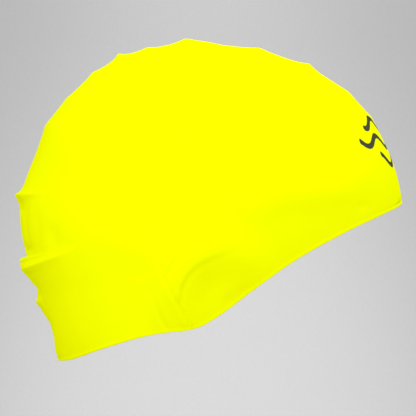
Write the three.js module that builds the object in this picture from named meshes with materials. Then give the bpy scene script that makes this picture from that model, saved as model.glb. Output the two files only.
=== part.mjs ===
import * as THREE from "three";

// Swim cap of thin moulded rubber, as it is drawn over a head.
// Millimetres, +Z up, forehead towards -Y, wearer's right side towards -X.
// The origin is on the midline, where the inside of the crown bears on the head.

// Sizes of the cap, measured from a centre inside it at the height of the temples
const HALF_LENGTH = 98; // from the centre to the forehead or the back
const HALF_HEIGHT = 88; // from the centre to the crown
const HALF_WIDTH = 77; // from the midline to the side of the head
const WALL = 1.2; // thickness of the rubber
const BEAD_PROUD = 0.5; // how far the rim's moulded bead stands out of each face of the wall

// The swell over each ear, in side view from the centre
const EAR_FORWARD = 6;
const EAR_DROP = 37;
const EAR_RADIUS = 19;
const EAR_RISE = 7;
const EAR_SKIRT = 17; // how far the rubber tents out round the ear
const EAR_RIM_MEAN = 0.6; // rise over the ear's rim as a share of EAR_RISE, halfway round it
const EAR_RIM_SWING = 0.4; // and how much more that share is at the highest point of the rim
const EAR_TOP_BEARING = 40; // degrees up from the back at which the rim is highest
const EAR_MIDDLE = 0.62; // share of EAR_RISE at the middle of the ear

// Heights of the folds that stand out of the cap
const RIPPLE_RISE = 2.7; // a full scallop on the crown
const CREASE_RISE = 3.6; // the pinched crease across the upper back
const FOLD_RISE = 4.6; // the folded-over ridge across the lower back
const TUCK_RISE = 1.6; // the small tuck below it

// Folds fan out from a point this high above the centre, in side view
const FAN_UP = 24;

// Shape of the sections
const FULLNESS = 2.2; // 2 would be an ellipse, more is squarer
const NARROWING = 0.07; // how much narrower the forehead is than the middle

// A turn runs in degrees round the centre: 0 at the forehead, 90 at the crown, 180 at the back.
// The share is the outline's reach over that of a plain oval of the two half sizes.
const OUTLINE = [
  { turn: -90, share: 1.46 },
  { turn: -45, share: 1.17 },
  { turn: -15, share: 1.045 },
  { turn: 4, share: 1.031 },
  { turn: 22, share: 1.024 },
  { turn: 42, share: 1.024 },
  { turn: 55, share: 1.006 },
  { turn: 67, share: 0.993 },
  { turn: 84, share: 0.984 },
  { turn: 90, share: 0.995 },
  { turn: 102, share: 0.992 },
  { turn: 113, share: 1.0 },
  { turn: 122, share: 0.998 },
  { turn: 135, share: 0.982 },
  { turn: 146, share: 0.973 },
  { turn: 158, share: 0.95 },
  { turn: 170, share: 0.955 },
  { turn: 182, share: 0.96 },
  { turn: 192, share: 0.96 },
  { turn: 205, share: 0.968 },
  { turn: 211, share: 1.002 },
  { turn: 219, share: 1.025 },
  { turn: 228, share: 1.138 },
  { turn: 244, share: 1.32 },
];

// The rim in side view: forward as a share of the half length, up as a share of the half height
const RIM = [
  { forward: 1, up: 0.037 },
  { forward: 0.92, up: 0.006 },
  { forward: 0.72, up: -0.095 },
  { forward: 0.5, up: -0.225 },
  { forward: 0.3, up: -0.37 },
  { forward: 0.12, up: -0.52 },
  { forward: 0.015, up: -0.594 },
  { forward: -0.065, up: -0.63 },
  { forward: -0.2, up: -0.655 },
  { forward: -0.35, up: -0.692 },
  { forward: -0.53, up: -0.757 },
  { forward: -0.68, up: -0.822 },
];

// A heading runs in degrees like a turn, but round the point that the folds fan out from.
// These two are the headings of the rim's corners on the midline.
const FRONT_CORNER = -10.1;
const NAPE_CORNER = 232.8;

// Scallops across the crown: rise as a share of a full one, spread in degrees of heading,
// reach down each side as a share of the half width
const RIPPLES = [
  { heading: 16.6, rise: 0.45, spread: 2.6, reach: 0.7 },
  { heading: 27.6, rise: 0.35, spread: 3.4, reach: 0.75 },
  { heading: 44.3, rise: 1, spread: 3.2, reach: 0.8 },
  { heading: 65.1, rise: 0.7, spread: 4.9, reach: 0.8 },
  { heading: 98.4, rise: 1.1, spread: 5.5, reach: 0.85 },
  { heading: 116.2, rise: 0.55, spread: 3.4, reach: 0.8 },
  { heading: 127.9, rise: 1.15, spread: 2.6, reach: 0.8 },
  { heading: 140.1, rise: 0.55, spread: 3, reach: 0.75 },
  { heading: 153.6, rise: 0.3, spread: 2.6, reach: 0.7 },
  { heading: 165.3, rise: 0.45, spread: 2.5, reach: 0.7 },
];

// Folds across the back: the width of the crest and the spread above and below it in degrees
// of heading, and the reach round each side as a share of the half width
const BACK_FOLDS = [
  { name: "crease", rise: CREASE_RISE, heading: 188.9, above: 1.4, crest: 0, below: 2, reach: 0.6 },
  { name: "fold", rise: FOLD_RISE, heading: 208.7, above: 0.3, crest: 3.6, below: 2, reach: 0.78 },
  { name: "tuck", rise: TUCK_RISE, heading: 219.1, above: 0.8, crest: 0, below: 1.9, reach: 0.45 },
];
const CREST_POWER = 1.6; // 1 gives knife-edged crests, 2 gives round ones

// Spacing of the columns of points in degrees of heading, finer where the folds are sharp
const COLUMN_ZONES = [
  { until: 12, step: 4 },
  { until: 60, step: 2.8 },
  { until: 120, step: 3.6 },
  { until: 173, step: 2.6 },
  { until: 184, step: 2.6 },
  { until: 193.5, step: 1.1 },
  { until: 205, step: 2.9 },
  { until: 214, step: 0.9 },
  { until: 223, step: 1.5 },
  { until: NAPE_CORNER, step: 2.2 },
];
const RIM_COLUMNS = 28;
const BEAD_SIDES = 6;

// Rows of points from the side of the head out to the edge
const ROWS = 12;
const LEAST_GAP = 1.1; // points of a row lie no closer than this, apart from those on the edge
const EDGE_GAP = 3; // and points short of the edge lie no closer to it than this

const HALVINGS = 50; // steps in which a place on the outline is found
const NORMAL_STEP = 0.02; // distance over which the slope of the cap's surface is taken

const toRadians = THREE.MathUtils.degToRad;
const toDegrees = THREE.MathUtils.radToDeg;

// Smooth curve through a table whose first column is a turn that repeats after a full circle
function smoothOutline(rows) {
  const last = rows.length - 1;
  const knot = (i) => {
    const lap = Math.floor(i / rows.length);
    const row = rows[i - lap * rows.length];
    return { turn: row.turn + 360 * lap, share: row.share };
  };
  const slope = (i) => {
    const before = knot(i - 1);
    const after = knot(i + 1);
    return (after.share - before.share) / (after.turn - before.turn);
  };
  return (turn) => {
    const wrapped = THREE.MathUtils.euclideanModulo(turn - rows[0].turn, 360) + rows[0].turn;
    let i = last;
    while (rows[i].turn > wrapped) i -= 1;
    const a = knot(i);
    const b = knot(i + 1);
    const width = b.turn - a.turn;
    const t = (wrapped - a.turn) / width;
    const rest = 1 - t;
    const level = a.share * (1 + 2 * t) * rest * rest + b.share * (1 + 2 * rest) * t * t;
    return level + width * t * rest * (slope(i) * rest - slope(i + 1) * t);
  };
}

const outlineShare = smoothOutline(OUTLINE);

// How far out a point of the side view lies: 0 at the centre and 1 on the outline
function spanAt(forward, up) {
  const turn = toDegrees(Math.atan2(up / HALF_HEIGHT, forward / HALF_LENGTH));
  return Math.hypot(forward / HALF_LENGTH, up / HALF_HEIGHT) / outlineShare(turn);
}

function headingAt(forward, up) {
  return toDegrees(Math.atan2(up - FAN_UP, forward));
}

// Point of the side view where a heading meets the outline, found by halving the way to it
function outlinePoint(heading) {
  const angle = toRadians(heading);
  const pointAt = (reach) => ({
    forward: reach * Math.cos(angle),
    up: FAN_UP + reach * Math.sin(angle),
  });
  let inside = 0;
  let outside = 4 * (HALF_LENGTH + HALF_HEIGHT);
  for (let i = 0; i < HALVINGS; i += 1) {
    const reach = (inside + outside) / 2;
    const { forward, up } = pointAt(reach);
    if (spanAt(forward, up) < 1) inside = reach;
    else outside = reach;
  }
  return pointAt(inside);
}

function halfWidthAt(forward) {
  return HALF_WIDTH * (1 - (NARROWING * forward) / HALF_LENGTH);
}

// Zero on the smooth cap, less inside and more outside
function fieldAt(point) {
  const across = Math.abs(point.x) / halfWidthAt(-point.y);
  return spanAt(-point.y, point.z) ** FULLNESS + across ** FULLNESS - 1;
}

function normalAt(point) {
  const slope = ["x", "y", "z"].map((axis) => {
    const ahead = point.clone();
    const behind = point.clone();
    ahead[axis] += NORMAL_STEP;
    behind[axis] -= NORMAL_STEP;
    return fieldAt(ahead) - fieldAt(behind);
  });
  return new THREE.Vector3(...slope).normalize();
}

// Point of the smooth cap that a point of the side view stands for, on one side of the head
function smoothPoint(side, forward, up) {
  const span = Math.min(1, spanAt(forward, up));
  const across = (1 - span ** FULLNESS) ** (1 / FULLNESS);
  return new THREE.Vector3(side * across * halfWidthAt(forward), -forward, up);
}

// Degrees from one heading on to another, from -180 to 180
function headingFrom(start, heading) {
  return THREE.MathUtils.euclideanModulo(heading - start + 180, 360) - 180;
}

// Fades from 1 on the midline to 0 at the reach
function fadeAcross(point, reach) {
  const share = Math.min(1, Math.abs(point.x) / (reach * HALF_WIDTH));
  return Math.cos((share * Math.PI) / 2) ** 2;
}

// 1 on the crest, a half one spread away from it
function crestShape(away) {
  return 1 / (1 + away ** CREST_POWER);
}

function rippleRise(point) {
  const heading = headingAt(-point.y, point.z);
  let rise = 0;
  for (const ripple of RIPPLES) {
    const away = Math.abs(headingFrom(ripple.heading, heading)) / ripple.spread;
    rise += RIPPLE_RISE * ripple.rise * fadeAcross(point, ripple.reach) * crestShape(away);
  }
  return rise;
}

function backFoldRise(point) {
  const heading = headingAt(-point.y, point.z);
  let rise = 0;
  for (const fold of BACK_FOLDS) {
    const off = headingFrom(fold.heading, heading);
    const beyond = Math.max(0, Math.abs(off) - fold.crest / 2);
    const away = beyond / (off < 0 ? fold.above : fold.below);
    rise += fold.rise * fadeAcross(point, fold.reach) * crestShape(away);
  }
  return rise;
}

// The rubber stands out over the ear's rim, which is highest at its upper back
function earRise(point) {
  const forward = -point.y - EAR_FORWARD;
  const up = point.z + EAR_DROP;
  const distance = Math.hypot(forward, up) / EAR_RADIUS;
  const bearing = Math.atan2(up, -forward);
  const lift = EAR_RIM_MEAN + EAR_RIM_SWING * Math.cos(bearing - toRadians(EAR_TOP_BEARING));
  const outside = (distance - 1) * (EAR_RADIUS / EAR_SKIRT);
  if (outside >= 1) return 0;
  if (outside > 0) return EAR_RISE * lift * (1 - outside) ** 2 * (1 + outside);
  return EAR_RISE * (lift + (EAR_MIDDLE - lift) * (1 - distance * distance) ** 2);
}

// Both faces of the rubber at one place; the folds across the back are doubled, so solid
function wallPoints(base) {
  const normal = normalAt(base);
  const shared = rippleRise(base) + earRise(base);
  const outer = base.clone().addScaledVector(normal, shared + backFoldRise(base));
  const inner = base.clone().addScaledVector(normal, shared - WALL);
  return { outer, inner, normal };
}

// Columns of points that end on the midline, from the forehead corner to the nape corner
function crownColumns() {
  const headings = [];
  let start = FRONT_CORNER;
  for (const zone of COLUMN_ZONES) {
    const count = Math.max(1, Math.round((zone.until - start) / zone.step));
    for (let i = 0; i < count; i += 1) headings.push(start + ((zone.until - start) * i) / count);
    start = zone.until;
  }

  // The column nearest each crest moves onto it
  const crests = RIPPLES.map((ripple) => ripple.heading);
  for (const fold of BACK_FOLDS) {
    crests.push(fold.heading - fold.crest / 2, fold.heading + fold.crest / 2);
  }
  for (const crest of crests) {
    const gaps = headings.map((heading) => Math.abs(heading - crest));
    headings[gaps.indexOf(Math.min(...gaps))] = crest;
  }
  headings.push(NAPE_CORNER);
  return headings.map((heading) => ({ heading, ...outlinePoint(heading), onRim: false }));
}

// Columns that end on the rim, from the nape corner round the side to the forehead corner
function rimColumns() {
  const between = RIM.map((row) => ({
    forward: row.forward * HALF_LENGTH,
    up: row.up * HALF_HEIGHT,
  }));
  const corners = [outlinePoint(FRONT_CORNER), outlinePoint(NAPE_CORNER)];
  const points = [corners[0], ...between, corners[1]].map((p) => new THREE.Vector2(p.forward, p.up));
  const rim = new THREE.SplineCurve(points.reverse());
  const columns = [];
  for (let i = 1; i < RIM_COLUMNS; i += 1) {
    const place = rim.getPointAt((1 - Math.cos((Math.PI * i) / RIM_COLUMNS)) / 2);
    const lap = THREE.MathUtils.euclideanModulo(headingAt(place.x, place.y) - NAPE_CORNER, 360);
    columns.push({ heading: NAPE_CORNER + lap, forward: place.x, up: place.y, onRim: true });
  }
  return columns;
}

// Triangles between two rings of points round the same side, each sorted by heading
function joinRings(inside, outside, addTriangle) {
  let i = 0;
  let j = 0;
  const aim = (ring, k) => ring[k % ring.length].heading + 360 * Math.floor(k / ring.length);
  while (i < inside.length || j < outside.length) {
    const a = inside[i % inside.length].id;
    const b = outside[j % outside.length].id;
    const outsideFirst = aim(outside, j + 1) <= aim(inside, i + 1);
    if (i >= inside.length || (j < outside.length && outsideFirst)) {
      addTriangle(a, b, outside[(j + 1) % outside.length].id);
      j += 1;
    } else {
      addTriangle(a, b, inside[(i + 1) % inside.length].id);
      i += 1;
    }
  }
}

// The rim as one closed loop: from the nape to the forehead on one side, back on the other
function rimLoop(columns) {
  const nape = columns.findIndex((column) => column.onRim) - 1;
  const there = [...columns.keys()].slice(nape);
  const back = there.slice(1).reverse();
  return [
    ...there.map((index) => ({ side: 1, index })),
    { side: 1, index: 0 },
    ...back.map((index) => ({ side: -1, index })),
  ];
}

// Points of the bead's round section, from the outer face of the wall to the inner one
function beadSection(columns, loop, k) {
  const wallMiddle = ({ side, index }) => {
    const { outer, normal } = wallPoints(edgeOf(side, columns[index]));
    return { middle: outer.addScaledVector(normal, -WALL / 2), normal };
  };
  const { middle, normal } = wallMiddle(loop[k]);
  const ahead = wallMiddle(loop[(k + 1) % loop.length]).middle;
  const behind = wallMiddle(loop[(k + loop.length - 1) % loop.length]).middle;
  const down = new THREE.Vector3().crossVectors(normal, ahead.sub(behind)).normalize();
  const radius = WALL / 2 + BEAD_PROUD;
  const centre = middle.addScaledVector(down, -radius);
  const start = -Math.acos(WALL / 2 / radius);
  const sweep = Math.PI - 2 * start;
  const points = [];
  for (let s = 0; s <= BEAD_SIDES; s += 1) {
    const angle = start + (sweep * s) / BEAD_SIDES;
    const place = centre.clone().addScaledVector(normal, radius * Math.cos(angle));
    points.push(place.addScaledVector(down, radius * Math.sin(angle)));
  }
  return points;
}

// Point of the smooth cap at the end of a column
function edgeOf(side, column) {
  const edge = smoothPoint(side, column.forward, column.up);
  if (!column.onRim) edge.x = 0;
  return edge;
}

// Point of the smooth cap in a row of a column
function rowPoint(side, column, row) {
  const share = Math.sin((Math.PI / 2) * (row / ROWS));
  return smoothPoint(side, column.forward * share, FAN_UP + (column.up - FAN_UP) * share);
}

// Which columns have a point in a row: all on the edge, fewer where they crowd together
function columnsInRow(columns, row) {
  const all = [...columns.keys()];
  if (row === ROWS) return all;
  const share = Math.sin((Math.PI / 2) * (row / ROWS));
  const gap = (heading, index) => {
    const { forward, up, heading: own } = columns[index];
    return toRadians(Math.abs(own - heading)) * share * Math.hypot(forward, up - FAN_UP);
  };
  const kept = [0];
  for (const index of all.slice(1)) {
    const clearBehind = gap(columns[kept.at(-1)].heading, index) >= LEAST_GAP;
    const clearAhead = gap(columns[0].heading + 360, index) >= LEAST_GAP;
    if (clearBehind && clearAhead) kept.push(index);
  }
  return kept;
}

function makeCapShell() {
  const positions = [];
  const indices = [];
  const addPoint = (p) => positions.push(p.x, p.y, p.z) / 3 - 1;
  const addTriangle = (a, b, c) => indices.push(a, b, c);
  const columns = [...crownColumns(), ...rimColumns()];

  // The bead, section by section round the rim
  const loop = rimLoop(columns);
  const sections = loop.map((_, k) => beadSection(columns, loop, k).map(addPoint));
  sections.forEach((here, k) => {
    const next = sections[(k + 1) % sections.length];
    for (let s = 0; s < BEAD_SIDES; s += 1) {
      addTriangle(next[s], next[s + 1], here[s + 1]);
      addTriangle(next[s], here[s + 1], here[s]);
    }
  });

  // Points on the midline belong to both sides
  const midline = { outer: new Map(), inner: new Map() };

  function edgePoint(face, side, index) {
    const column = columns[index];
    const k = loop.findIndex((at) => at.index === index && (!column.onRim || at.side === side));
    if (k >= 0) return sections[k][face === "outer" ? 0 : BEAD_SIDES];
    if (!midline[face].has(index)) {
      midline[face].set(index, addPoint(wallPoints(edgeOf(side, column))[face]));
    }
    return midline[face].get(index);
  }

  function addFace(face, side) {
    const turned = side > 0 === (face === "outer");
    const addTurned = (a, b, c) => {
      if (a === b || b === c || c === a) return;
      if (turned) addTriangle(a, c, b);
      else addTriangle(a, b, c);
    };
    const pole = addPoint(wallPoints(smoothPoint(side, 0, FAN_UP))[face]);
    const latest = columns.map(() => pole);
    let ring = null;
    for (let row = 1; row <= ROWS; row += 1) {
      const next = columnsInRow(columns, row).map((index) => {
        const column = columns[index];
        const base = rowPoint(side, column, row);
        if (row === ROWS) latest[index] = edgePoint(face, side, index);
        else if (base.distanceTo(edgeOf(side, column)) > EDGE_GAP) {
          latest[index] = addPoint(wallPoints(base)[face]);
        }
        return { heading: column.heading, id: latest[index] };
      });
      if (ring) {
        joinRings(ring, next, addTurned);
      } else {
        next.forEach((p, k) => addTurned(pole, p.id, next[(k + 1) % next.length].id));
      }
      ring = next;
    }
  }

  for (const side of [-1, 1]) {
    addFace("outer", side);
    addFace("inner", side);
  }

  const geometry = new THREE.BufferGeometry();
  geometry.setAttribute("position", new THREE.Float32BufferAttribute(positions, 3));
  geometry.setIndex(indices);
  return geometry;
}

const neonRubber = new THREE.MeshStandardMaterial({
  color: new THREE.Color(0.93, 0.98, 0.0),
  roughness: 0.55,
  metalness: 0,
  name: "neon_rubber",
});

const capShell = new THREE.Mesh(makeCapShell(), neonRubber);
capShell.name = "cap_shell";

// The inside of the crown comes to the origin
const crownSeat = HALF_HEIGHT * outlineShare(90) - WALL;
capShell.position.z = -crownSeat;

const cap = new THREE.Group();
cap.add(capShell);

export default cap;
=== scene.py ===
"""Looks of a swim cap of neon yellow rubber, in the form that it has when worn.

The cap is worked out in millimetres from a centre inside it and stands in the scene in metres.
Its front is towards -Y, its crown towards +Z and its right side, as worn, towards -X. "forward"
and "up" are a place in the side view, "across" the way out from the midline. A heading runs in
degrees round the point that the folds fan out from: 0 towards the front, 90 towards the crown,
180 towards the back. "rise" is a height over the smooth cap, in millimetres.
"""

import math

import bpy
import numpy as np
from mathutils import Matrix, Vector


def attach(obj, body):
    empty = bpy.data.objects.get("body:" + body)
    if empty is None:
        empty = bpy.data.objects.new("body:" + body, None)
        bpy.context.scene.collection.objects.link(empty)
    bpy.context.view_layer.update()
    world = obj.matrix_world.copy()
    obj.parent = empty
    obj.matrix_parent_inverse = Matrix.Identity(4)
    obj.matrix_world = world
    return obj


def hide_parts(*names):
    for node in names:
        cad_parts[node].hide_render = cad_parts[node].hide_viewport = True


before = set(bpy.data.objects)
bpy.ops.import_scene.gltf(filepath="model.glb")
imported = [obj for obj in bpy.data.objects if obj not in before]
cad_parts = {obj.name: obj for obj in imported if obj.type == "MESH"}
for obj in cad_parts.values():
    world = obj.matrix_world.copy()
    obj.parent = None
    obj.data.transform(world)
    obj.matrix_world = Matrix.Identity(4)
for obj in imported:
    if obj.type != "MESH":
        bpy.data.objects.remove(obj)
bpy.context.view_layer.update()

MM = 0.001
SIDES = (-1, 1)

# Sizes of the cap, from its centre
HALF_LENGTH = 98.0
HALF_HEIGHT = 88.0
HALF_WIDTH = 77.0
WALL = 1.2
BEAD_RADIUS = 0.72
FULLNESS = 2.2  # power of the rounded sections, where 2 is a plain oval
NARROWING = 0.07  # share of the half width that is lost at the front and gained at the back
FAN_UP = 24.0  # height of the point that the folds fan out from
CROWN_HEADING = 90.0
CROWN_SEAT = 86.36  # height of the inside of the crown, which is the scene's origin
WIDEST_MEAN = -2.0  # height of the widest line, halfway along
WIDEST_SWING = 15.0  # how much higher it is at the front, and lower at the back
WIDEST_TURN = 8.0
WIDEST_SPREAD = 32.0

# Reach of the side view's outline over that of a plain oval, by turn round the centre
OUTLINE_TURNS = np.array(
    [-90, -45, -15, 4, 22, 42, 55, 67, 84, 90, 102, 113]
    + [122, 135, 146, 158, 170, 182, 192, 205, 211, 219, 228, 244],
    float,
)
OUTLINE_SHARES = np.array(
    [1.46, 1.17, 1.045, 1.031, 1.024, 1.024, 1.006, 0.993, 0.984, 0.995, 0.992, 1.0]
    + [0.998, 0.982, 0.973, 0.95, 0.955, 0.96, 0.96, 0.968, 0.99, 1.047, 1.138, 1.32]
)

# The rim in the side view, forward and up as shares of the half length and the half height
RIM = [
    (0.995, 0.0435),
    (0.92, 0.006),
    (0.72, -0.095),
    (0.5, -0.225),
    (0.3, -0.37),
    (0.12, -0.52),
    (0.015, -0.594),
    (-0.065, -0.63),
    (-0.2, -0.655),
    (-0.35, -0.692),
    (-0.53, -0.757),
    (-0.68, -0.822),
]
FRONT_CORNER = -10.1  # headings at which the rim meets the midline
NAPE_CORNER = 232.8

# Scallops over the crown: heading, rise, spread in degrees, reach as a share of the half width
RIPPLES = [
    (16.6, 1.2, 2.6, 0.7),
    (27.6, 0.95, 3.4, 0.75),
    (44.3, 2.7, 3.2, 0.8),
    (65.1, 1.9, 4.9, 0.8),
    (98.4, 3.0, 5.5, 0.85),
    (116.2, 1.5, 3.4, 0.8),
    (127.9, 3.1, 2.6, 0.8),
    (140.1, 1.5, 3.0, 0.75),
    (153.6, 0.8, 2.6, 0.7),
    (165.3, 1.2, 2.5, 0.7),
]

# Folds across the back, with crests and spreads in degrees and the reach as for the scallops
BACK_FOLDS = [
    {"heading": 188.8, "rise": 4.1, "above": 1.3, "crest": 0.0, "below": 2.0, "reach": 0.66},
    {"heading": 208.0, "rise": 4.25, "above": 0.12, "crest": 3.0, "below": 3.4, "reach": 0.9},
    {"heading": 219.1, "rise": 2.6, "above": 0.9, "crest": 0.0, "below": 1.9, "reach": 0.38},
]
CREST_POWER = 1.6  # how pointed scallops and folds are
FOLD_HEADING = 208.0
FOLD_DRIFT = 13.0  # degrees that the lower fold climbs on its way round the sides
FOLD_DRIFT_SPREAD = 15.0
DRIFT_BEGINS = 0.2  # share of the way to the midline at which the climb begins
DRIFT_WAY = 0.4

# Lines along the lower folds: heading, depth in mm, spread in degrees, reach, and how far from
# the midline in mm they begin
FOLD_LINES = [
    (204.6, 1.8, 1.5, 0.55, 8.0),
    (206.2, 0.95, 0.35, 0.3, 0.0),
    (207.6, 0.5, 0.3, 0.6, 5.0),
    (211.0, 1.5, 0.8, 0.5, 6.0),
    (215.7, 1.1, 1.0, 0.36, 0.0),
    (226.3, 2.5, 3.0, 0.42, 0.0),
]
FOLD_TAPER = 0.55  # how much narrower the folds are where they end than on the midline
FOLD_TOP_EDGE = (0.92, 0.3)  # share of the lower fold's rise at its upper edge: midline, sides
FOLD_UNDER_EDGE = 1.08  # the same at its lower edge, all round
FOLD_EDGE_REACH = 0.5

# Soft grooves that run up and down between the folds: headings from and to, place across the
# back, half width and depth in mm
BACK_STREAKS = [
    (189.4, 194.0, 13.0, 7.0, 2.0),
    (190.5, 203.0, 12.0, 3.5, 0.5),
    (191.0, 204.0, 27.0, 4.0, 0.6),
    (194.0, 206.0, 41.0, 4.5, 0.5),
    (199.0, 206.5, 52.0, 4.0, 0.6),
    (210.5, 217.5, 8.0, 5.0, 1.3),
    (212.0, 221.0, 22.0, 3.5, 0.45),
    (219.8, 223.5, 9.0, 4.0, 1.0),
    (221.0, 231.0, 12.0, 4.0, 0.35),
]
BACK_HOLD = 1.6  # how long the folds keep their height on the way out from the midline

# The round swell low on each side, with the rise of its border as shares of its height
SWELL_FORWARD = 6.0
SWELL_DROP = 37.0
SWELL_RADIUS = 19.0
SWELL_RISE = 5.0
SWELL_SKIRT = 20.0
SWELL_BORDER_MEAN = 0.55
SWELL_BORDER_SWING = 0.45
SWELL_TOP_BEARING = 34.0
SWELL_MIDDLE = 0.34

# Creases of the stretched rubber, as paths in the side view. A ridge rises along its path, and
# with a minus sign is a groove. A step is a low shelf on the left of its path, high at the path
# and easing off over "shelf". "start" and "end" are how far a crease takes to fade in and out.
CREASES = [
    {
        "kind": "ridge",
        "path": [
            (-23.5, -17.0),
            (-21.9, -24.3),
            (-18.2, -32.6),
            (-13.4, -41.4),
            (-9.7, -48.3),
            (-5.5, -56.5),
        ],
        "rise": -0.7,
        "edge": 0.55,
        "start": 16.0,
        "end": 0.5,
    },
    {
        "kind": "ridge",
        "path": [
            (-26.0, -18.0),
            (-24.3, -25.3),
            (-20.6, -33.6),
            (-15.8, -42.4),
            (-12.1, -49.3),
            (-8.0, -57.5),
        ],
        "rise": 0.35,
        "edge": 1.6,
        "start": 18.0,
        "end": 6.0,
    },
    {
        "kind": "ridge",
        "path": [(-27.5, -35.0), (-24.9, -41.4), (-22.9, -47.3), (-20.5, -52.2), (-18.0, -57.0)],
        "rise": -0.5,
        "edge": 1.0,
        "start": 10.0,
        "end": 0.5,
    },
    {
        "kind": "step",
        "path": [
            (-12.6, -44.0),
            (-12.1, -39.9),
            (-11.9, -35.5),
            (-10.2, -31.6),
            (-7.7, -27.7),
            (-3.8, -24.2),
            (0.6, -21.8),
            (5.4, -19.8),
            (11.3, -16.9),
            (19.0, -12.0),
        ],
        "rise": 0.7,
        "edge": 1.05,
        "shelf": 4.5,
        "start": 6.0,
        "end": 34.0,
    },
    {
        "kind": "ridge",
        "path": [
            (-19.0, -33.5),
            (-17.5, -28.6),
            (-15.5, -23.8),
            (-13.1, -19.8),
            (-10.2, -16.9),
            (-5.3, -15.0),
            (0.6, -13.5),
        ],
        "rise": -0.75,
        "edge": 1.0,
        "start": 6.0,
        "end": 9.0,
    },
    {
        "kind": "ridge",
        "path": [
            (91.0, 35.0),
            (83.6, 25.0),
            (72.0, 15.0),
            (42.0, 9.0),
            (22.0, 0.5),
            (2.0, -11.0),
            (-14.0, -17.5),
            (-27.0, -21.0),
            (-52.0, -12.5),
            (-74.0, -16.5),
        ],
        "rise": 0.65,
        "edge": 7.0,
        "start": 20.0,
        "end": 20.0,
    },
]

CREASE_PIECES = 12  # straight pieces between two places of a crease's path
VALLEY_DEPTH = 0.35  # the low line along a step, as a share of its rise
VALLEY_WIDTH = 1.5

# Small dents: forward, up, radius and depth in mm
DENTS = [
    (-33.2, -22.8, 2.0, 0.35),
    (-31.2, -29.2, 1.8, 0.4),
    (-27.8, -38.0, 2.2, 0.45),
    (-21.4, -25.2, 1.6, 0.35),
    (-1.9, -14.5, 2.2, 0.3),
    (79.1, 4.6, 2.6, 0.3),
    (12.3, -41.4, 3.6, 0.45),
    (19.2, -37.0, 3.2, 0.35),
    (-76.4, -9.8, 5.0, 0.6),
    (-68.2, -14.7, 4.2, 0.5),
]

# Spacing of the columns of points: up to this heading, at this step in degrees
COLUMN_ZONES = [
    (12, 1.6),
    (60, 0.95),
    (120, 1.15),
    (173, 0.9),
    (184, 0.9),
    (193.5, 0.35),
    (204, 0.8),
    (214, 0.28),
    (223, 0.55),
    (NAPE_CORNER, 0.8),
]
RIM_ZONES = [
    (245, 0.9),
    (252, 0.6),
    (268, 0.42),
    (285, 0.7),
    (330, 1.1),
    (FRONT_CORNER + 360, 0.8),
]
RIM_PIECES = 400  # straight pieces between two places of the rim
BEAD_STEP = 2.0  # the bead has a section at least this often, in mm
OUTER_ROWS = 78
INNER_ROWS = 22
BEAD_SIDES = 8
SPARSE_UNDER = 0.36  # rows nearer the fan's point than this share of the way leave columns out
SPARSEST = 16  # and keep every sixteenth column at the least
RIM_GAP = 2.4  # rows come no closer than this to the rim
MIDLINE_GAP = 0.6  # nor than this to the midline
NORMAL_STEP = 0.02
HALVINGS = 50
OUTSIDE = 0  # the faces of the rubber, and the places of their materials
INSIDE = 1

# Finish of the rubber
RUBBER_BRIGHT = (0.91, 0.985, 0.0, 1)
RUBBER_DEEP = (0.895, 0.975, 0.0, 1)
TONE_RANGE = (0.3, 0.7)
RUBBER_ROUGHNESS = (0.44, 0.58)
PATCH_RANGE = (0.25, 0.75)
RUBBER_IOR = 1.41
RUBBER_GLOSS = (0.95, 1.0, 0.02, 1)  # the satin gloss takes the rubber's own yellow
RUBBER_GLOSS_SHARE = 0.1
MOTTLE_SIZE = 0.014
PATCH_SCALE = 34.0
GRAIN_SCALE = 2600.0
GRAIN_SHARE = 0.35
DRAG_SCALE = (60.0, 420.0, 60.0)
DRAG_SHARE = 0.65
RELIEF_HEIGHT = 0.00006
RELIEF_STRENGTH = 0.6

# Print on the front of the cap, in metres
INK = (0.06, 0.064, 0.036, 1)
INK_ROUGHNESS = 0.36
INK_LIFT = 0.5
INK_WEAR_SCALE = 900.0
INK_WEAR_RANGE = (0.22, 0.36)
INK_WEAR_SHARES = (0.75, 1.0)
PRINT_BEND = 0.09  # radius at which a turn round the cap counts as a length
PRINT_WAVE = 0.026
PRINT_SWING = 0.0028
PRINT_HALF_WEIGHT = 0.0014
PRINT_EDGE = 0.0002

# Height, half length and phase of each wave line
PRINT_LINES = [(-0.040, 0.034, 0.0), (-0.049, 0.043, 1.2), (-0.058, 0.027, 2.4)]

# Studio, in metres
FLOOR_DOWN = -1.35
FLOOR_REACH = 3.0
WALL_CURVE = 1.6
WALL_TOP = 7.0
FLOOR_STEPS = 6
CURVE_STEPS = 24
BACKDROP_TURNS = 96
PAPER_FIBRE_SCALE = 240.0
PAPER_ROUGHNESS = 0.9
PAPER_SHINE = 0.1
PAPER_DARK = (0.455, 0.455, 0.455, 1)
PAPER_LIGHT = (0.503, 0.503, 0.503, 1)
PAPER_PAINTED_LIGHT = (0.86, 0.86, 0.86, 1)  # painted light: paler paper all round, away from the wall behind the side view, brightens the walls that the lamps leave dim
PAINTED_LIGHT_TURN = (3.2, 4.2)  # how far along +X the painted light of the pale paper ends and that of the wall begins
AMBIENT = 0.72
AMBIENT_LEAN = (-0.35, 0.03, 0.08)  # towards where the soft light is brighter
LIGHT_AIM = (0, 0, -0.08)
KEY_PLACE = (-0.9, 0.7, 1.15)
KEY_WATTS = 6.9
FRONT_PLACE = (0.0, -0.9, 1.3)
FRONT_WATTS = 10.3
SOFT_SIZE = 0.8
FAR_PLACE = (1.9, 0.1, 0.2)
FAR_WATTS = 13.5
FAR_SIZE = 1.0
SPOT_PLACE = (4.2, 0.0, 1.95)
SPOT_AIM = (4.5, 0.0, -1.2)
SPOT_WATTS = 215.0
SPOT_ANGLE = 31.0
SPOT_SOURCE = 0.2

# Camera: level with the cap, square to its side
SENSOR = 36.0
CAMERA_AWAY = 1.6
VIEW_WIDTH = 0.2134
CAMERA_Y = -0.00154
CAMERA_Z = -0.08277
CAMERA_NEAR = 0.05
CAMERA_FAR = 50


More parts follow.
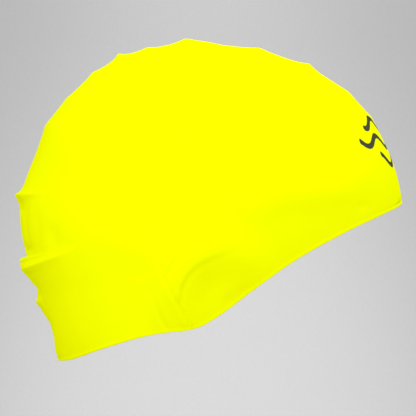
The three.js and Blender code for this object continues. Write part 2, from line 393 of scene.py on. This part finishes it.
def outline_share(turn):
    """The outline's reach at turns round the centre, as a smooth curve through its table."""
    turns = np.r_[
        OUTLINE_TURNS[-1] - 360, OUTLINE_TURNS, OUTLINE_TURNS[0] + 360, OUTLINE_TURNS[1] + 360
    ]
    shares = np.r_[OUTLINE_SHARES[-1], OUTLINE_SHARES, OUTLINE_SHARES[0], OUTLINE_SHARES[1]]
    slopes = (shares[2:] - shares[:-2]) / (turns[2:] - turns[:-2])
    wrapped = (turn - OUTLINE_TURNS[0]) % 360 + OUTLINE_TURNS[0]
    i = np.searchsorted(OUTLINE_TURNS, wrapped, side="right") - 1
    width = turns[i + 2] - turns[i + 1]
    t = (wrapped - turns[i + 1]) / width
    rest = 1 - t
    level = shares[i + 1] * (1 + 2 * t) * rest**2 + shares[i + 2] * (1 + 2 * rest) * t**2
    return level + width * t * rest * (slopes[i] * rest - slopes[i + 1] * t)


def span_at(forward, up):
    """0 at the centre and 1 on the outline of the side view."""
    turn = np.degrees(np.arctan2(up / HALF_HEIGHT, forward / HALF_LENGTH))
    return np.hypot(forward / HALF_LENGTH, up / HALF_HEIGHT) / outline_share(turn)


def width_span(forward, up):
    """Like span_at, but 0 where the cap is widest: lower at the back, higher at the front."""
    lift = WIDEST_MEAN + WIDEST_SWING * np.tanh((forward - WIDEST_TURN) / WIDEST_SPREAD)
    return span_at(forward, up - lift * (1 - np.minimum(1, span_at(forward, up)) ** 2))


def half_width_at(forward):
    """Half the width of the cap, which is narrower at the front."""
    return HALF_WIDTH * (1 - NARROWING * forward / HALF_LENGTH)


def smooth_points(side, forward, up):
    """Points of the cap without its folds, for places in the side view."""
    span = np.minimum(1, width_span(forward, up))
    across = (1 - span**FULLNESS) ** (1 / FULLNESS)
    return np.stack([side * across * half_width_at(forward), -forward, up], axis=-1)


def field_at(points):
    """Zero on the smooth cap, less inside it and more outside."""
    across = np.abs(points[:, 0]) / half_width_at(-points[:, 1])
    return width_span(-points[:, 1], points[:, 2]) ** FULLNESS + across**FULLNESS - 1


def normals_at(points):
    """The way out of the smooth cap."""
    slopes = []
    for axis in range(3):
        step = np.zeros(3)
        step[axis] = NORMAL_STEP
        slopes.append(field_at(points + step) - field_at(points - step))
    slopes = np.stack(slopes, axis=-1)
    return slopes / np.linalg.norm(slopes, axis=1, keepdims=True)


def outline_points(headings):
    """Where headings meet the outline of the side view."""
    angle = np.radians(headings)
    inside = np.zeros_like(angle)
    outside = np.full_like(angle, 4 * (HALF_LENGTH + HALF_HEIGHT))
    for _ in range(HALVINGS):
        reach = (inside + outside) / 2
        short = span_at(reach * np.cos(angle), FAN_UP + reach * np.sin(angle)) < 1
        inside = np.where(short, reach, inside)
        outside = np.where(short, outside, reach)
    return inside * np.cos(angle), FAN_UP + inside * np.sin(angle)


def heading_from(start, headings):
    """Degrees from one heading on to others, from -180 to 180."""
    return (headings - start + 180) % 360 - 180


def fade_across(points, reach, hold=1.0):
    """1 on the midline to 0 at the reach; more than 1 for hold keeps the height up for longer."""
    share = np.minimum(1, np.abs(points[:, 0]) / (reach * HALF_WIDTH))
    return np.cos(share**hold * math.pi / 2) ** 2


def crest_shape(away):
    """1 at a crest with a slightly pointed top, easing off to both sides."""
    return 1 / (1 + np.abs(away) ** CREST_POWER)


def hill(distance):
    """1 in the middle, easing to nothing at about twice the distance's unit."""
    return np.exp(-(distance**2))


def eased(share):
    """From 0 to 1 with a soft start and end."""
    return share * share * (3 - 2 * share)


def ripple_rise(points, headings):
    """The scallops over the crown."""
    rise = np.zeros(len(points))
    for heading, height, spread, reach in RIPPLES:
        away = heading_from(heading, headings) / spread
        rise += height * fade_across(points, reach) * crest_shape(away)
    return rise


def back_fold_rise(points, headings):
    """The folds across the back, the lines along them and the grooves between them."""
    rise = np.zeros(len(points))
    for fold in BACK_FOLDS:
        off = heading_from(fold["heading"], headings)
        end = np.minimum(1, np.abs(points[:, 0]) / (fold["reach"] * HALF_WIDTH))
        off = off / (1 - FOLD_TAPER * end)
        beyond = np.maximum(0, np.abs(off) - fold["crest"] / 2)
        away = beyond / np.where(off < 0, fold["above"], fold["below"])
        shown = fade_across(points, fold["reach"], BACK_HOLD)
        if fold["crest"]:
            # A folded-over edge: away from the midline its upper edge sinks, its lower one stays
            inward = fade_across(points, FOLD_EDGE_REACH)
            top_edge = FOLD_TOP_EDGE[0] * inward + FOLD_TOP_EDGE[1] * (1 - inward)
            down = np.clip(off / fold["crest"] + 0.5, 0, 1) ** (2 - inward)
            shown = shown * (top_edge + (FOLD_UNDER_EDGE - top_edge) * down)
        rise += fold["rise"] * shown * crest_shape(away)
    for heading, depth, spread, reach, start in FOLD_LINES:
        away = heading_from(heading, headings) / spread
        shown = fade_across(points, reach, BACK_HOLD)
        if start:
            shown *= 1 - hill(points[:, 0] / start)
        rise -= depth * shown * hill(away)
    for top, bottom, across, width, depth in BACK_STREAKS:
        middle = (top + bottom) / 2
        half = (bottom - top) / 2
        shown = hill((heading_from(middle, headings) / half) ** 2)
        rise -= depth * shown * hill((np.abs(points[:, 0]) - across) / width)
    return rise


def swell_rise(points):
    """The round swell low on each side, whose border is highest at its upper back."""
    forward = -points[:, 1] - SWELL_FORWARD
    up = points[:, 2] + SWELL_DROP
    distance = np.hypot(forward, up) / SWELL_RADIUS
    bearing = np.arctan2(up, -forward)
    lift = SWELL_BORDER_MEAN + SWELL_BORDER_SWING * np.cos(bearing - math.radians(SWELL_TOP_BEARING))
    outside = np.clip((distance - 1) * SWELL_RADIUS / SWELL_SKIRT, 0, 1)
    over = lift + (SWELL_MIDDLE - lift) * (1 - np.minimum(distance, 1) ** 2) ** 2
    return SWELL_RISE * np.where(distance > 1, lift * (1 - outside) ** 2 * (1 + 2 * outside), over)


def smooth_path(knots, pieces):
    """A rounded line through a few places, with short straight pieces from one to the next."""
    knots = np.array(knots, float)
    ends = np.vstack([2 * knots[0] - knots[1], knots, 2 * knots[-1] - knots[-2]])
    line = [knots[:1]]
    t = np.linspace(0, 1, pieces + 1)[1:, None]
    for a, b, c, d in zip(ends, ends[1:], ends[2:], ends[3:]):
        bend = (2 * a - 5 * b + 4 * c - d) * t**2
        twist = (3 * b - a - 3 * c + d) * t**3
        line.append((2 * b + (c - a) * t + bend + twist) / 2)
    return np.vstack(line)


def along_path(places, line):
    """How far places lie from a line, positive on its left, how far along it, and its length."""
    best = np.full(len(places), np.inf)
    left = np.zeros(len(places))
    run = np.zeros(len(places))
    done = 0.0
    for start, end in zip(line, line[1:]):
        way = end - start
        length = np.hypot(*way)
        way = way / length
        offset = places - start
        share = np.clip(offset @ way, 0, length)
        gap = offset - share[:, None] * way
        distance = np.hypot(gap[:, 0], gap[:, 1])
        nearer = distance < best
        turn = offset[:, 0] * way[1] - offset[:, 1] * way[0]
        best = np.where(nearer, distance, best)
        left = np.where(nearer, np.where(turn < 0, distance, -distance), left)
        run = np.where(nearer, done + share, run)
        done += length
    return left, run, done


def crease_rise(points):
    """The creases and dents of both sides."""
    rise = np.zeros(len(points))
    places = np.stack([-points[:, 1], points[:, 2]], axis=-1)
    for crease in CREASES:
        line = smooth_path(crease["path"], CREASE_PIECES)
        off, run, length = along_path(places, line)
        begun = np.clip(run / crease["start"], 0, 1)
        unfinished = np.clip((length - run) / crease["end"], 0, 1)
        shown = eased(begun * unfinished)
        edge = crease["edge"]
        if crease["kind"] == "step":
            shelf = (1 + np.tanh(off / edge)) / 2 * np.exp(-np.maximum(off, 0) / crease["shelf"])
            valley = VALLEY_DEPTH * hill((off + edge) / (VALLEY_WIDTH * edge))
            rise += crease["rise"] * shown * (shelf - valley)
        else:
            rise += crease["rise"] * shown * hill(off / edge)
    for forward, up, radius, depth in DENTS:
        distance = np.hypot(places[:, 0] - forward, places[:, 1] - up)
        rise -= depth * hill(distance / radius)
    return rise


def wall_points(points, headings):
    """Both faces of the rubber at points of the smooth cap, and the way out."""
    normals = normals_at(points)
    shared = ripple_rise(points, headings) + swell_rise(points) + crease_rise(points)
    outer = points + normals * (shared + back_fold_rise(points, headings))[:, None]
    inner = points + normals * (shared - WALL)[:, None]
    return outer, inner, normals


def spaced(start, zones):
    """Headings from a start on, at each zone's own step up to where the zone ends."""
    headings = []
    for until, step in zones:
        count = max(1, round((until - start) / step))
        headings += [start + (until - start) * i / count for i in range(count)]
        start = until
    return headings


def crown_columns():
    """Headings and places of the columns that end on the midline, with one on every crest."""
    headings = spaced(FRONT_CORNER, COLUMN_ZONES)
    crests = [ripple[0] for ripple in RIPPLES] + [line[0] for line in FOLD_LINES]
    for fold in BACK_FOLDS:
        crests += [fold["heading"] - fold["crest"] / 2, fold["heading"] + fold["crest"] / 2]
    for crest in crests:
        nearest = min(range(len(headings)), key=lambda i: abs(headings[i] - crest))
        headings[nearest] = crest
    headings = np.array(sorted(headings) + [NAPE_CORNER])
    return headings, *outline_points(headings)


def rim_columns():
    """The rim from back to front: headings, places, and which of them only the bead uses."""
    forward, up = outline_points(np.array([FRONT_CORNER, NAPE_CORNER]))
    knots = [(f * HALF_LENGTH, u * HALF_HEIGHT) for f, u in RIM]
    knots = [(forward[0], up[0]), *knots, (forward[1], up[1])]
    line = smooth_path(knots[::-1], RIM_PIECES)
    turns = np.degrees(np.arctan2(line[:, 1] - FAN_UP, line[:, 0]))
    turns = NAPE_CORNER + (turns - NAPE_CORNER + 1) % 360 - 1
    steps = np.diff(smooth_points(1, line[:, 0], line[:, 1]), axis=0)
    run = np.r_[0, np.cumsum(np.linalg.norm(steps, axis=1))]
    columns = spaced(NAPE_CORNER, RIM_ZONES)[1:]
    bounds = np.interp([NAPE_CORNER, *columns, FRONT_CORNER + 360], turns, run)
    headings = []
    bead_only = []

    # Between two columns the bead has sections at even steps along the rim
    for start, end, heading in zip(bounds, bounds[1:], [*columns, None]):
        count = math.ceil((end - start) / BEAD_STEP)
        between = start + (end - start) * np.arange(1, count) / count
        headings += [*np.interp(between, run, turns)]
        bead_only += [True] * len(between)
        if heading is not None:
            headings.append(heading)
            bead_only.append(False)
    places = np.interp(headings, turns, line[:, 0]), np.interp(headings, turns, line[:, 1])
    return np.array(headings), *places, np.array(bead_only)


class CapMesh:
    """Points and faces of the cap, and the finish of each face."""

    def __init__(self):
        self.points = []
        self.count = 0
        self.faces = []
        self.finishes = []

    def add_points(self, points):
        ids = np.arange(self.count, self.count + len(points))
        self.points.append(points)
        self.count += len(points)
        return ids

    def add_face(self, corners, finish, turned=False):
        face = [p for k, p in enumerate(corners) if p != corners[k - 1]]
        if len(face) > 2:
            self.faces.append(face[::-1] if turned else face)
            self.finishes.append(finish)


def drifted(forward, up, headings, share):
    """Places of a row, turned about the fan's point where the lower fold climbs."""
    near = hill(heading_from(FOLD_HEADING, headings) / FOLD_DRIFT_SPREAD)
    begun = eased(np.clip((share - DRIFT_BEGINS) / DRIFT_WAY, 0, 1))
    turn = np.radians(FOLD_DRIFT * (1 - share) * near * begun)
    rise = up - FAN_UP
    return (
        forward * np.cos(turn) - rise * np.sin(turn),
        FAN_UP + forward * np.sin(turn) + rise * np.cos(turn),
    )


def join_rings(mesh, inside, outside, total, finish, turned):
    """Faces between two rings of (column, point), each in order of column."""

    def column(ring, k):
        return ring[k % len(ring)][0] + total * (k // len(ring)) if k <= len(ring) else math.inf

    i = j = 0
    while i < len(inside) or j < len(outside):
        step_in = column(inside, i + 1)
        step_out = column(outside, j + 1)
        next_i = i + (step_in <= step_out)
        next_j = j + (step_out <= step_in)
        corners = [inside[i % len(inside)], outside[j % len(outside)]]
        corners += [outside[next_j % len(outside)], inside[next_i % len(inside)]]
        mesh.add_face([point for _, point in corners], finish, turned)
        i, j = next_i, next_j


def add_bead(mesh, base, headings):
    """The bead along the closed rim, as rings of points from the outside to the inside."""
    outer, _, normals = wall_points(base, headings)
    middle = outer - normals * WALL / 2
    down = np.cross(normals, np.roll(middle, -1, axis=0) - np.roll(middle, 1, axis=0))
    down /= np.linalg.norm(down, axis=1, keepdims=True)
    centre = middle - down * BEAD_RADIUS
    start = -math.acos(WALL / 2 / BEAD_RADIUS)
    rings = []
    for s in range(BEAD_SIDES + 1):
        angle = start + (math.pi - 2 * start) * s / BEAD_SIDES
        ring = centre + BEAD_RADIUS * (normals * math.cos(angle) + down * math.sin(angle))
        rings.append(mesh.add_points(ring))
    for a, b in zip(rings, rings[1:]):
        for k in range(len(a)):
            ahead = (k + 1) % len(a)
            mesh.add_face([a[ahead], b[ahead], b[k], a[k]], INSIDE)
    return rings


def make_cap_mesh():
    """Both faces of the rubber, each as rows of points out from the fan's point to the bead."""
    crown_headings, crown_forward, crown_up = crown_columns()
    rim_headings, rim_forward, rim_up, bead_only = rim_columns()
    headings = np.r_[crown_headings, rim_headings]
    forward = np.r_[crown_forward, rim_forward]
    up = np.r_[crown_up, rim_up]
    total = len(headings)
    nape = len(crown_headings) - 1
    on_rim = np.arange(total) > nape
    has_rows = np.r_[np.ones(nape + 1, bool), ~bead_only]
    mesh = CapMesh()

    def edge_points(side, index):
        points = smooth_points(side, forward[index], up[index])
        points[:, 0] *= on_rim[index]
        return points

    # The rim as one loop, to the front along one side and back along the other
    there = np.r_[np.arange(nape, total), 0]
    back = there[1:-1][::-1]
    loop_side = np.r_[np.ones(len(there)), -np.ones(len(back))]
    loop_index = np.r_[there, back]
    rim_base = edge_points(1, loop_index)
    rim_base[:, 0] *= loop_side
    bead_rings = add_bead(mesh, rim_base, headings[loop_index])
    bead_place = {}
    for k, (side, index) in enumerate(zip(loop_side, loop_index)):
        bead_place[(side, index)] = k
        if not on_rim[index]:
            bead_place[(-side, index)] = k

    # Points on the midline belong to both sides
    ridge = np.arange(1, nape)
    ridge_walls = wall_points(edge_points(1, ridge), headings[ridge])

    for finish, rows in ((OUTSIDE, OUTER_ROWS), (INSIDE, INNER_ROWS)):
        bead_ring = bead_rings[0] if finish == OUTSIDE else bead_rings[-1]
        midline = mesh.add_points(ridge_walls[finish])
        for side in SIDES:
            turned = (side > 0) == (finish == OUTSIDE)
            pole_base = smooth_points(side, np.zeros(1), np.array([FAN_UP]))
            pole_walls = wall_points(pole_base, np.array([CROWN_HEADING]))
            pole = mesh.add_points(pole_walls[finish])[0]
            edge = edge_points(side, np.arange(total))
            rim_edge = np.vstack([edge[nape:], edge[:1]])
            latest = np.full(total, pole)
            ring = None
            for row in range(1, rows + 1):
                share = math.sin(math.pi / 2 * row / rows)
                stride = 1
                while share * stride < SPARSE_UNDER and stride < SPARSEST:
                    stride *= 2
                kept = np.arange(0, total, stride)
                if row == rows:
                    for index in range(total):
                        if (side, index) in bead_place:
                            latest[index] = bead_ring[bead_place[(side, index)]]
                        else:
                            latest[index] = midline[index - 1]
                else:
                    # A column that comes too near the rim or the midline keeps its latest point
                    kept = kept[has_rows[kept]]
                    place = drifted(
                        forward * share, FAN_UP + (up - FAN_UP) * share, headings, share
                    )
                    base = smooth_points(side, *place)
                    apart = np.linalg.norm(base[:, None] - rim_edge, axis=2).min(axis=1)
                    clear = apart > RIM_GAP
                    clear &= np.linalg.norm(base - edge, axis=1) > MIDLINE_GAP
                    chosen = kept[clear[kept]]
                    walls = wall_points(base[chosen], headings[chosen])[finish]
                    latest[chosen] = mesh.add_points(walls)
                following = [(k, latest[k]) for k in kept]
                if ring is None:
                    for here, ahead in zip(following, following[1:] + following[:1]):
                        mesh.add_face([pole, here[1], ahead[1]], finish, turned)
                else:
                    join_rings(mesh, ring, following, total, finish, turned)
                ring = following
    return mesh


def make_cap():
    """The cap in the scene, in place of its solid."""
    mesh = make_cap_mesh()
    points = (np.vstack(mesh.points) - [0, 0, CROWN_SEAT]) * MM
    data = bpy.data.meshes.new("neon_cap")
    data.from_pydata(points.tolist(), [], [[int(p) for p in face] for face in mesh.faces])
    data.materials.append(neon_rubber("neon_rubber_outside", printed=True))
    data.materials.append(neon_rubber("neon_rubber_inside", printed=False))
    data.polygons.foreach_set("material_index", mesh.finishes)
    data.polygons.foreach_set("use_smooth", [True] * len(data.polygons))
    data.update()
    cap = bpy.data.objects.new("neon_cap", data)
    bpy.context.scene.collection.objects.link(cap)
    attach(cap, "root")
    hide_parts("cap_shell")
    return cap


class Nodes:
    """Short ways to make and join the nodes of one tree."""

    def __init__(self, tree):
        self.tree = tree

    def add(self, kind, **values):
        node = self.tree.nodes.new(kind)
        for name, value in values.items():
            setattr(node, name, value)
        return node

    def join(self, source, target):
        self.tree.links.new(source, target)

    def put(self, value, socket):
        """A socket's value, or the output that feeds it."""
        if isinstance(value, bpy.types.NodeSocket):
            self.join(value, socket)
        else:
            socket.default_value = value

    def math(self, operation, *values):
        node = self.add("ShaderNodeMath", operation=operation)
        for value, socket in zip(values, node.inputs):
            self.put(value, socket)
        return node.outputs[0]

    def blend(self, share, a, b):
        """A mix of two colours, whose sockets share their names with those of other kinds."""
        node = self.add("ShaderNodeMix", data_type="RGBA")
        sockets = [node.inputs[0]]
        sockets += [socket for socket in node.inputs if socket.type == "RGBA"]
        for value, socket in zip((share, a, b), sockets):
            self.put(value, socket)
        return next(socket for socket in node.outputs if socket.type == "RGBA")

    def levels(self, value, low, high, to_low, to_high):
        """A value taken softly from one range to another."""
        node = self.add("ShaderNodeMapRange", interpolation_type="SMOOTHSTEP")
        for part, socket in zip((value, low, high, to_low, to_high), node.inputs):
            self.put(part, socket)
        return node.outputs[0]

    def noise(self, place, scale, detail=2.0, roughness=0.5):
        node = self.add("ShaderNodeTexNoise")
        self.join(place, node.inputs["Vector"])
        node.inputs["Scale"].default_value = scale
        node.inputs["Detail"].default_value = detail
        node.inputs["Roughness"].default_value = roughness
        return node.outputs["Fac"]


def new_group(name, inputs, outputs):
    """A shader node group with named inputs and outputs, and its first and last node."""
    tree = bpy.data.node_groups.new(name, "ShaderNodeTree")
    for title, kind in inputs:
        tree.interface.new_socket(title, in_out="INPUT", socket_type=kind)
    for title, kind in outputs:
        tree.interface.new_socket(title, in_out="OUTPUT", socket_type=kind)
    nodes = Nodes(tree)
    return nodes, nodes.add("NodeGroupInput"), nodes.add("NodeGroupOutput")


def make_rubber_skin():
    """Moulded rubber: soft mottling, a fine matt grain and the faint drag lines of the stretch."""
    nodes, source, result = new_group(
        "rubber_skin",
        [("Place", "NodeSocketVector"), ("Mottle Size", "NodeSocketFloat")],
        [
            ("Tone", "NodeSocketFloat"),
            ("Sheen Patches", "NodeSocketFloat"),
            ("Relief", "NodeSocketFloat"),
        ],
    )
    place = source.outputs["Place"]
    scaled = nodes.add("ShaderNodeVectorMath", operation="DIVIDE")
    nodes.join(place, scaled.inputs[0])
    spread = nodes.add("ShaderNodeCombineXYZ")
    for socket in spread.inputs:
        nodes.join(source.outputs["Mottle Size"], socket)
    nodes.join(spread.outputs[0], scaled.inputs[1])
    tone = nodes.noise(scaled.outputs[0], 1.0, detail=4.0, roughness=0.6)
    patches = nodes.noise(place, PATCH_SCALE, detail=3.0)

    # Lines run up from the rim over the crown, as the stretch pulls the rubber
    drawn = nodes.add("ShaderNodeMapping")
    nodes.join(place, drawn.inputs["Vector"])
    drawn.inputs["Scale"].default_value = DRAG_SCALE
    drag = nodes.noise(drawn.outputs[0], 1.0, detail=2.0)
    grain = nodes.noise(place, GRAIN_SCALE, detail=2.0, roughness=0.6)
    relief = nodes.math("MULTIPLY_ADD", drag, DRAG_SHARE, nodes.math("MULTIPLY", grain, GRAIN_SHARE))
    nodes.join(tone, result.inputs["Tone"])
    nodes.join(patches, result.inputs["Sheen Patches"])
    nodes.join(relief, result.inputs["Relief"])
    return nodes.tree


def make_printed_waves():
    """Mask of short wave lines, printed from side to side across the front."""
    nodes, source, result = new_group(
        "printed_waves", [("Place", "NodeSocketVector")], [("Ink", "NodeSocketFloat")]
    )
    axes = nodes.add("ShaderNodeSeparateXYZ")
    nodes.join(source.outputs["Place"], axes.inputs[0])
    side, depth, height = axes.outputs
    front = nodes.math("MULTIPLY", depth, -1.0)
    around = nodes.math("MULTIPLY", nodes.math("ARCTAN2", side, front), PRINT_BEND)
    ink = None
    for level, half_length, phase in PRINT_LINES:
        inside = nodes.math("MAXIMUM", nodes.math("MINIMUM", around, half_length), -half_length)
        turn = nodes.math("MULTIPLY_ADD", inside, math.tau / PRINT_WAVE, phase)
        line = nodes.math("MULTIPLY_ADD", nodes.math("SINE", turn), PRINT_SWING, level)
        slope = nodes.math("MULTIPLY", nodes.math("COSINE", turn), PRINT_SWING * math.tau / PRINT_WAVE)
        lean = nodes.math("INVERSE_SQRT", nodes.math("MULTIPLY_ADD", slope, slope, 1.0))
        off = nodes.math("MULTIPLY", nodes.math("SUBTRACT", height, line), lean)
        beyond = nodes.math("SUBTRACT", around, inside)
        squares = nodes.math("MULTIPLY_ADD", beyond, beyond, nodes.math("MULTIPLY", off, off))
        distance = nodes.math("SQRT", squares)
        stroke = nodes.levels(
            distance, PRINT_HALF_WEIGHT - PRINT_EDGE, PRINT_HALF_WEIGHT + PRINT_EDGE, 1.0, 0.0
        )
        ink = stroke if ink is None else nodes.math("MAXIMUM", ink, stroke)
    facing = nodes.math("GREATER_THAN", front, 0.0)
    nodes.join(nodes.math("MULTIPLY", ink, facing), result.inputs["Ink"])
    return nodes.tree


def neon_rubber(name, printed):
    """Neon yellow silicone rubber, satin, with the printed waves where asked."""
    material = bpy.data.materials.new(name)
    material.use_nodes = True
    nodes = Nodes(material.node_tree)
    shader = material.node_tree.nodes["Principled BSDF"]
    place = nodes.add("ShaderNodeTexCoord").outputs["Object"]
    skin = nodes.add("ShaderNodeGroup", node_tree=rubber_skin)
    nodes.join(place, skin.inputs["Place"])
    skin.inputs["Mottle Size"].default_value = MOTTLE_SIZE
    tone = nodes.levels(skin.outputs["Tone"], *TONE_RANGE, 0.0, 1.0)
    colour = nodes.blend(tone, RUBBER_DEEP, RUBBER_BRIGHT)
    roughness = nodes.levels(skin.outputs["Sheen Patches"], *PATCH_RANGE, *RUBBER_ROUGHNESS)
    height = skin.outputs["Relief"]
    if printed:
        waves = nodes.add("ShaderNodeGroup", node_tree=printed_waves)
        nodes.join(place, waves.inputs["Place"])
        ink = waves.outputs["Ink"]
        wear = nodes.noise(place, INK_WEAR_SCALE, detail=3.0)
        ink = nodes.math("MULTIPLY", ink, nodes.levels(wear, *INK_WEAR_RANGE, *INK_WEAR_SHARES))
        colour = nodes.blend(ink, colour, INK)
        roughness = nodes.math(
            "ADD", roughness, nodes.math("MULTIPLY", ink, INK_ROUGHNESS - RUBBER_ROUGHNESS[0])
        )
        height = nodes.math("MULTIPLY_ADD", ink, INK_LIFT, height)
    nodes.join(colour, shader.inputs["Base Color"])
    nodes.join(roughness, shader.inputs["Roughness"])
    shader.inputs["IOR"].default_value = RUBBER_IOR
    shader.inputs["Specular IOR Level"].default_value = 0.0
    shader.inputs["Specular Tint"].default_value = RUBBER_GLOSS
    shader.inputs["Metallic"].default_value = RUBBER_GLOSS_SHARE
    bump = nodes.add("ShaderNodeBump")
    bump.inputs["Strength"].default_value = RELIEF_STRENGTH
    bump.inputs["Distance"].default_value = RELIEF_HEIGHT
    nodes.join(height, bump.inputs["Height"])
    nodes.join(bump.outputs["Normal"], shader.inputs["Normal"])
    return material


def make_backdrop():
    """A round seamless backdrop: a plain floor well below the cap that curves up into a wall, its
    paper paler away from the wall behind the side view as painted light.
    """
    profile = [(FLOOR_REACH * k / FLOOR_STEPS, FLOOR_DOWN) for k in range(FLOOR_STEPS + 1)]
    for k in range(1, CURVE_STEPS + 1):
        angle = math.pi / 2 * k / CURVE_STEPS
        reach = FLOOR_REACH + WALL_CURVE * math.sin(angle)
        profile.append((reach, FLOOR_DOWN + WALL_CURVE * (1 - math.cos(angle))))
    profile.append((FLOOR_REACH + WALL_CURVE, FLOOR_DOWN + WALL_TOP))
    turns = BACKDROP_TURNS
    points = []
    for reach, height in profile:
        for k in range(turns):
            angle = math.tau * k / turns
            points.append((reach * math.cos(angle), reach * math.sin(angle), height))
    faces = []
    for ring in range(len(profile) - 1):
        for k in range(turns):
            a = ring * turns + k
            b = ring * turns + (k + 1) % turns
            faces.append((a, a + turns, b + turns, b))
    data = bpy.data.meshes.new("backdrop")
    data.from_pydata(points, [], faces)
    data.polygons.foreach_set("use_smooth", [True] * len(data.polygons))
    backdrop = bpy.data.objects.new("backdrop", data)
    bpy.context.scene.collection.objects.link(backdrop)
    backdrop.visible_diffuse = False
    backdrop.visible_glossy = False
    backdrop.visible_transmission = False
    backdrop.visible_shadow = False
    paper = bpy.data.materials.new("backdrop_paper")
    paper.use_nodes = True
    nodes = Nodes(paper.node_tree)
    shader = paper.node_tree.nodes["Principled BSDF"]
    place = nodes.add("ShaderNodeTexCoord").outputs["Object"]
    fibre = nodes.noise(place, PAPER_FIBRE_SCALE, detail=4.0)
    ways = nodes.add("ShaderNodeSeparateXYZ")
    nodes.join(place, ways.inputs[0])
    # Painted light: the paper is paler away from the wall behind the side view, brightening walls that
    # the lamps leave dim
    turn = nodes.levels(ways.outputs[0], *PAINTED_LIGHT_TURN, 1.0, 0.0)
    wall = nodes.blend(fibre, PAPER_DARK, PAPER_LIGHT)
    nodes.join(nodes.blend(turn, wall, PAPER_PAINTED_LIGHT), shader.inputs["Base Color"])
    shader.inputs["Roughness"].default_value = PAPER_ROUGHNESS
    shader.inputs["Specular IOR Level"].default_value = PAPER_SHINE
    data.materials.append(paper)


def add_light(name, kind, place, aim, energy, **values):
    """A light at a place, turned towards another, with other values of its kind."""
    data = bpy.data.lights.new(name, kind)
    data.energy = energy
    for key, value in values.items():
        setattr(data, key, value)
    light = bpy.data.objects.new(name, data)
    light.location = place
    light.rotation_mode = "QUATERNION"
    light.rotation_quaternion = (Vector(aim) - Vector(place)).to_track_quat("-Z", "Y")
    bpy.context.scene.collection.objects.link(light)
    return light


def make_lights():
    """Soft light from all round, three wide lamps on the cap and one spot on the wall behind."""
    world = bpy.data.worlds.new("studio")
    world.use_nodes = True
    nodes = Nodes(world.node_tree)
    background = world.node_tree.nodes["Background"]
    background.inputs["Color"].default_value = (1, 1, 1, 1)
    way = nodes.add("ShaderNodeTexCoord").outputs["Generated"]
    lean = nodes.add("ShaderNodeVectorMath", operation="DOT_PRODUCT")
    nodes.join(way, lean.inputs[0])
    lean.inputs[1].default_value = AMBIENT_LEAN
    strength = nodes.math("ADD", lean.outputs["Value"], AMBIENT)
    nodes.join(strength, background.inputs["Strength"])
    bpy.context.scene.world = world
    soft = {"shape": "DISK", "size": SOFT_SIZE}
    add_light("key", "AREA", KEY_PLACE, LIGHT_AIM, KEY_WATTS, **soft)
    add_light("front", "AREA", FRONT_PLACE, LIGHT_AIM, FRONT_WATTS, **soft)
    wide = {"shape": "DISK", "size": FAR_SIZE}
    far_side = add_light("far_side", "AREA", FAR_PLACE, LIGHT_AIM, FAR_WATTS, **wide)
    far_side.visible_glossy = False
    add_light(
        "background",
        "SPOT",
        SPOT_PLACE,
        SPOT_AIM,
        SPOT_WATTS,
        spot_size=math.radians(SPOT_ANGLE),
        spot_blend=1.0,
        shadow_soft_size=SPOT_SOURCE,
    )


def make_camera():
    """The camera of the side view, with the cap as large as in the picture."""
    data = bpy.data.cameras.new("side_view")
    data.sensor_width = SENSOR
    data.lens = SENSOR * CAMERA_AWAY / VIEW_WIDTH
    data.clip_start = CAMERA_NEAR
    data.clip_end = CAMERA_FAR
    camera = bpy.data.objects.new("side_view", data)
    camera.location = (-CAMERA_AWAY, CAMERA_Y, CAMERA_Z)
    camera.rotation_euler = (math.pi / 2, 0, -math.pi / 2)
    bpy.context.scene.collection.objects.link(camera)
    bpy.context.scene.camera = camera


rubber_skin = make_rubber_skin()
printed_waves = make_printed_waves()
make_camera()
make_lights()
make_backdrop()
make_cap()
bpy.context.scene.view_settings.view_transform = "Standard"
